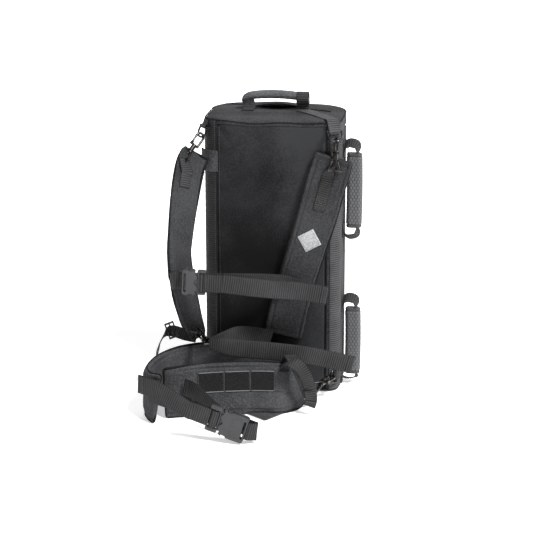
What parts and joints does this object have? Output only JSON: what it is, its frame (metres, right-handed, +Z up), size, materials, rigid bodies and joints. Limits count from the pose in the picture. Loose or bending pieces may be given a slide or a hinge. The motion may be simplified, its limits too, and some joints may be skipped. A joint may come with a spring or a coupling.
{
  "type": "air pack",
  "caption": "Upright fabric breathing-air pack with padded shoulder straps, hip belt, quick-release buckles, snap hooks, carry handles and a zipped door over its cylinder.",
  "frame": {"origin": "centre of the underside of the bag's base, on the ground", "axes": "+Z up along the bag, -Y out of the harness face towards the wearer, +X to the side with the carry grips"},
  "size_m": [0.4129, 0.4953, 0.614],
  "materials": {
    "bag_fabric": "coarse nylon pack cloth, matt",
    "panel_fabric": "coarse nylon pack cloth over foam, matt",
    "webbing": "ribbed nylon webbing",
    "pad_fabric": "padded nylon cloth",
    "belt_fabric": "padded nylon cloth",
    "loop_tape": "hook-and-loop tape",
    "grip_fabric": "embossed padded cloth",
    "zip_tape": "moulded coil",
    "buckle_plastic": "moulded acetal",
    "ring_steel": "black coated wire",
    "hook_metal": "bright gunmetal plating",
    "tank_composite": "wound composite wrap",
    "valve_brass": "machined",
    "valve_steel": "plated",
    "wheel_rubber": "moulded grip",
    "gauge_face": "plain dial",
    "foam": "closed-cell foam",
    "badge_cloth": "plain woven patch"
  },
  "bodies": {
    "pack": {"base_panel": "bag_fabric", "back_panel": "panel_fabric", "side_panel_left": "bag_fabric", "side_panel_right": "bag_fabric", "top_panel": "bag_fabric", "front_boxing": "bag_fabric", "corner_webbing": "webbing", "load_straps": "webbing", "handle_anchors": "webbing", "ring_tabs": "webbing", "side_anchors": "webbing", "shoulder_pad_left": "pad_fabric", "shoulder_pad_right": "pad_fabric", "anchor_webbing_left": "webbing", "anchor_webbing_right": "webbing", "sternum_anchor": "webbing", "sternum_strap": "webbing", "belly_strap": "webbing", "hip_belt": "belt_fabric", "gear_loop_strip": "loop_tape", "belt_webbing_left": "webbing", "belt_webbing_right": "webbing", "stabiliser_strap": "webbing", "pad_hardware": "buckle_plastic", "tri_glide": "buckle_plastic", "lower_strap_right": "webbing", "swivel_rings": "hook_metal", "air_tank": "tank_composite", "valve_body": "valve_brass", "pressure_gauge": "gauge_face", "reducer": "valve_steel", "tank_straps": "webbing", "foam_cradle": "foam", "zipper_teeth": "zip_tape", "sternum_socket": "buckle_plastic", "hip_socket": "buckle_plastic", "badge": "badge_cloth"},
    "cover": {"front_cover": "bag_fabric", "cover_zipper_teeth": "zip_tape"},
    "slider": {"zip_slider": "hook_metal"},
    "pull": {"zip_pull": "webbing"},
    "handle": {"handle_webbing": "webbing", "handle_grip": "grip_fabric"},
    "grip_upper": {"grip_upper": "grip_fabric"},
    "grip_lower": {"grip_lower": "grip_fabric"},
    "sternum_plug": {"sternum_plug": "buckle_plastic"},
    "hip_plug": {"hip_plug": "buckle_plastic"},
    "hand_wheel": {"hand_wheel": "wheel_rubber"},
    "d_ring_top_left": {"d_ring_top_left": "ring_steel"},
    "d_ring_top_right": {"d_ring_top_right": "ring_steel"},
    "d_ring_low_left": {"d_ring_low_left": "ring_steel"},
    "d_ring_low_right": {"d_ring_low_right": "ring_steel"},
    "hook_top_right": {"hook_top_right": "hook_metal"},
    "gate_top_right": {"gate_top_right": "hook_metal"},
    "hook_top_left": {"hook_top_left": "hook_metal"},
    "gate_top_left": {"gate_top_left": "hook_metal"},
    "hook_low_right": {"hook_low_right": "hook_metal"},
    "gate_low_right": {"gate_low_right": "hook_metal"},
    "hook_belly": {"hook_belly": "hook_metal"},
    "gate_belly": {"gate_belly": "hook_metal"}
  },
  "joints": [
    {"name": "d_ring_top_left_swing", "type": "hinge", "parent": "pack", "child": "d_ring_top_left", "pos_m": [-0.1372, -0.08115, 0.556], "axis": [0.6428, -0.766, 0], "range_deg": [-3, 3]},
    {"name": "d_ring_top_right_swing", "type": "hinge", "parent": "pack", "child": "d_ring_top_right", "pos_m": [0.12745, -0.08905, 0.556], "axis": [0.8829, 0.4695, 0], "range_deg": [-3, 3]},
    {"name": "d_ring_low_left_swing", "type": "hinge", "parent": "pack", "child": "d_ring_low_left", "pos_m": [-0.13526, -0.08326, 0.039], "axis": [0, 0, 1], "range_deg": [-20, 20]},
    {"name": "d_ring_low_right_swing", "type": "hinge", "parent": "pack", "child": "d_ring_low_right", "pos_m": [0.13526, -0.08326, 0.039], "axis": [0, 0, 1], "range_deg": [-3, 3]},
    {"name": "hook_top_right_swivel", "type": "hinge", "parent": "pack", "child": "hook_top_right", "pos_m": [0.13202, -0.10605, 0.51205], "axis": [0.0201, 0.3011, 0.9534], "range_deg": [-15, 15]},
    {"name": "gate_top_right_open", "type": "hinge", "parent": "hook_top_right", "child": "gate_top_right", "pos_m": [0.13607, -0.11091, 0.51979], "axis": [-0.8709, -0.4631, 0.1646], "range_deg": [0, 25], "stiffness_Nm_per_rad": 0.02, "springref_deg": -8.59},
    {"name": "hook_top_left_swivel", "type": "hinge", "parent": "pack", "child": "hook_top_left", "pos_m": [-0.15637, -0.10295, 0.5191], "axis": [0.4395, 0.5993, 0.6692], "range_deg": [-15, 15]},
    {"name": "gate_top_left_open", "type": "hinge", "parent": "hook_top_left", "child": "gate_top_left", "pos_m": [-0.15892, -0.10179, 0.5287], "axis": [-0.6215, 0.7407, -0.2551], "range_deg": [0, 25], "stiffness_Nm_per_rad": 0.02, "springref_deg": -8.59},
    {"name": "hook_low_right_swivel", "type": "hinge", "parent": "pack", "child": "hook_low_right", "pos_m": [0.1139, -0.12579, 0.03601], "axis": [0.4718, 0.8734, 0.1205], "range_deg": [-15, 15]},
    {"name": "gate_low_right_open", "type": "hinge", "parent": "hook_low_right", "child": "gate_low_right", "pos_m": [0.12377, -0.12435, 0.03673], "axis": [-0.0573, -0.106, 0.9927], "range_deg": [0, 25], "stiffness_Nm_per_rad": 0.02, "springref_deg": -8.59},
    {"name": "hook_belly_swivel", "type": "hinge", "parent": "pack", "child": "hook_belly", "pos_m": [-0.12802, -0.16633, 0.13546], "axis": [-0.5635, 0.8197, 0.1025], "range_deg": [-15, 15]},
    {"name": "gate_belly_open", "type": "hinge", "parent": "hook_belly", "child": "gate_belly", "pos_m": [-0.13225, -0.161, 0.12813], "axis": [0.8194, 0.5704, -0.057], "range_deg": [0, 25], "stiffness_Nm_per_rad": 0.02, "springref_deg": -8.59},
    {"name": "cover_open", "type": "hinge", "parent": "pack", "child": "cover", "pos_m": [-0.138, 0.01, 0.29], "axis": [0, 0, 1], "range_deg": [0, 110]},
    {"name": "slider_run", "type": "slide", "parent": "cover", "child": "slider", "axis": [0, 0, 1], "range_m": [-0.455, 0.025]},
    {"name": "pull_swing", "type": "hinge", "parent": "slider", "child": "pull", "pos_m": [0.1447, 0.011, 0.5038], "axis": [0, -1, 0], "range_deg": [0, 150]},
    {"name": "handle_fold", "type": "hinge", "parent": "pack", "child": "handle", "pos_m": [-0.0035, 0, 0.58], "axis": [1, 0, 0], "range_deg": [-65, 65]},
    {"name": "grip_upper_fold", "type": "hinge", "parent": "pack", "child": "grip_upper", "pos_m": [0.143, -0.02, 0.418], "axis": [0, 0, 1], "range_deg": [-60, 45]},
    {"name": "grip_lower_fold", "type": "hinge", "parent": "pack", "child": "grip_lower", "pos_m": [0.143, -0.02, 0.094], "axis": [0, 0, 1], "range_deg": [-60, 45]},
    {"name": "sternum_plug_release", "type": "slide", "parent": "pack", "child": "sternum_plug", "axis": [0.9921, 0.1191, -0.0397], "range_m": [0, 0.024]},
    {"name": "hip_plug_release", "type": "slide", "parent": "pack", "child": "hip_plug", "axis": [-0.9485, 0.0816, 0.306], "range_m": [0, 0.024]},
    {"name": "valve_turn", "type": "hinge", "parent": "pack", "child": "hand_wheel", "pos_m": [0.044, 0, 0.491], "axis": [1, 0, 0], "range_deg": [0, 720]}
  ]
}
